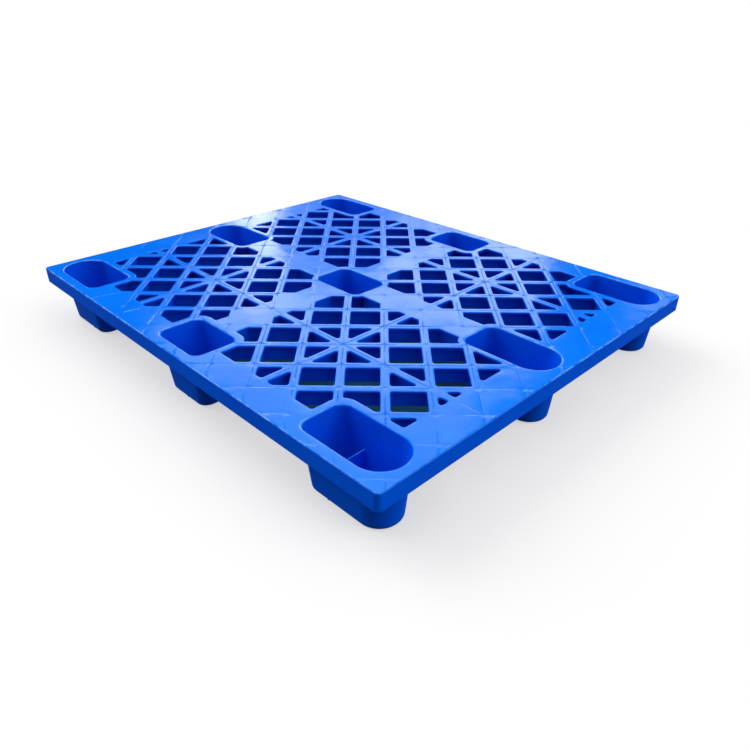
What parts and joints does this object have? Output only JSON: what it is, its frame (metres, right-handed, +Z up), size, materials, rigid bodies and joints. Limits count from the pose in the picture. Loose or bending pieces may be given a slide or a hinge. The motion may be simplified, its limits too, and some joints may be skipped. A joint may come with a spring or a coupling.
{
  "type": "plastic pallet",
  "caption": "Nestable plastic pallet: flat lattice deck with solid border and centre cross, low skirt, hollow tapered legs open at the top, four-way fork entry.",
  "frame": {"origin": "centre of the footprint, on the plane that the feet stand on", "axes": "+X along the 1200 mm side, +Y along the 1000 mm side, +Z up through the deck"},
  "size_m": [1.2, 1, 0.13],
  "materials": {
    "blue_polyethylene": "satin moulded polyethylene"
  },
  "bodies": {
    "root": {"leg_front_left": "blue_polyethylene", "leg_front_centre": "blue_polyethylene", "leg_front_right": "blue_polyethylene", "leg_middle_left": "blue_polyethylene", "leg_middle_centre": "blue_polyethylene", "leg_middle_right": "blue_polyethylene", "leg_back_left": "blue_polyethylene", "leg_back_centre": "blue_polyethylene", "leg_back_right": "blue_polyethylene", "grid_front_left": "blue_polyethylene", "grid_front_right": "blue_polyethylene", "grid_back_left": "blue_polyethylene", "grid_back_right": "blue_polyethylene", "rail_front_left": "blue_polyethylene", "rail_front_right": "blue_polyethylene", "rail_back_left": "blue_polyethylene", "rail_back_right": "blue_polyethylene", "rail_left_front": "blue_polyethylene", "rail_left_back": "blue_polyethylene", "rail_right_front": "blue_polyethylene", "rail_right_back": "blue_polyethylene", "beam_front": "blue_polyethylene", "beam_back": "blue_polyethylene", "beam_left": "blue_polyethylene", "beam_right": "blue_polyethylene"}
  },
  "joints": []
}
